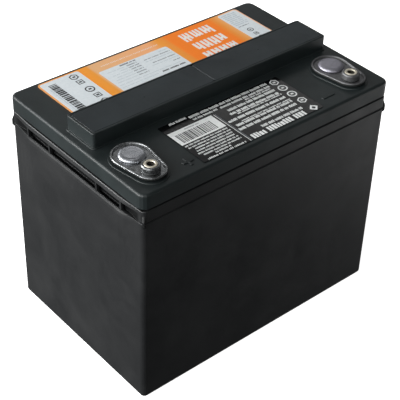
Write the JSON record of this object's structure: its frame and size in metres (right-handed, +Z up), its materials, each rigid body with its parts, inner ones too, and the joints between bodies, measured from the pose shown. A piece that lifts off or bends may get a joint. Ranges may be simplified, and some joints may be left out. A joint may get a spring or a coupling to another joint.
{
  "type": "deep cycle battery",
  "caption": "Sealed deep cycle battery: black moulded container and cover, raised vent bar, cast terminals with threaded inserts, and internal plate stacks.",
  "frame": {"origin": "centre of the flat base, on the floor", "axes": "+X along the length towards the negative terminal, -Y the long side the terminals stand near, +Z up"},
  "size_m": [0.2612, 0.1732, 0.2204],
  "materials": {
    "case_plastic": "fine satin mould texture",
    "cover_plastic": "fine satin mould texture",
    "strip_plastic": "satin",
    "valve_rubber": "matte",
    "porous_frit": "porous white frit",
    "cast_lead": "cast lead alloy, satin grey",
    "burned_lead": "bright lead, burned smooth",
    "insert_brass": "tinned brass",
    "potting_resin": "cast resin",
    "positive_plate": "lead dioxide paste, matte brown",
    "negative_plate": "sponge lead paste, matte grey",
    "glass_mat": "absorbent glass mat, white",
    "label_orange": "printed film label",
    "label_black": "printed film label"
  },
  "bodies": {
    "case": {"container": "case_plastic", "cover": "cover_plastic", "vent_strip_left": "strip_plastic", "vent_strip_right": "strip_plastic", "positive_plates_1": "positive_plate", "negative_plates_1": "negative_plate", "separator_1": "glass_mat", "positive_plates_2": "positive_plate", "negative_plates_2": "negative_plate", "separator_2": "glass_mat", "positive_plates_3": "positive_plate", "negative_plates_3": "negative_plate", "separator_3": "glass_mat", "positive_plates_4": "positive_plate", "negative_plates_4": "negative_plate", "separator_4": "glass_mat", "positive_plates_5": "positive_plate", "negative_plates_5": "negative_plate", "separator_5": "glass_mat", "positive_plates_6": "positive_plate", "negative_plates_6": "negative_plate", "separator_6": "glass_mat", "cell_weld_1": "cast_lead", "cell_weld_2": "cast_lead", "cell_weld_3": "cast_lead", "cell_weld_4": "cast_lead", "cell_weld_5": "cast_lead", "flame_arrestor_left": "porous_frit", "flame_arrestor_right": "porous_frit", "terminal_casting_positive": "cast_lead", "terminal_post_positive": "burned_lead", "terminal_insert_positive": "insert_brass", "post_seal_positive": "valve_rubber", "post_potting_positive": "potting_resin", "terminal_casting_negative": "cast_lead", "terminal_post_negative": "burned_lead", "terminal_insert_negative": "insert_brass", "post_seal_negative": "valve_rubber", "post_potting_negative": "potting_resin", "label_back": "label_orange", "label_front": "label_black"},
    "valve_1": {"valve_cap_1": "valve_rubber"},
    "valve_2": {"valve_cap_2": "valve_rubber"},
    "valve_3": {"valve_cap_3": "valve_rubber"},
    "valve_4": {"valve_cap_4": "valve_rubber"},
    "valve_5": {"valve_cap_5": "valve_rubber"},
    "valve_6": {"valve_cap_6": "valve_rubber"}
  },
  "joints": [
    {"name": "valve_lift_1", "type": "slide", "parent": "case", "child": "valve_1", "axis": [0, 0, 1], "range_m": [0, 0.0008], "stiffness_N_per_m": 1000, "springref_m": -0.001},
    {"name": "valve_lift_2", "type": "slide", "parent": "case", "child": "valve_2", "axis": [0, 0, 1], "range_m": [0, 0.0008], "stiffness_N_per_m": 1000, "springref_m": -0.001},
    {"name": "valve_lift_3", "type": "slide", "parent": "case", "child": "valve_3", "axis": [0, 0, 1], "range_m": [0, 0.0008], "stiffness_N_per_m": 1000, "springref_m": -0.001},
    {"name": "valve_lift_4", "type": "slide", "parent": "case", "child": "valve_4", "axis": [0, 0, 1], "range_m": [0, 0.0008], "stiffness_N_per_m": 1000, "springref_m": -0.001},
    {"name": "valve_lift_5", "type": "slide", "parent": "case", "child": "valve_5", "axis": [0, 0, 1], "range_m": [0, 0.0008], "stiffness_N_per_m": 1000, "springref_m": -0.001},
    {"name": "valve_lift_6", "type": "slide", "parent": "case", "child": "valve_6", "axis": [0, 0, 1], "range_m": [0, 0.0008], "stiffness_N_per_m": 1000, "springref_m": -0.001}
  ]
}
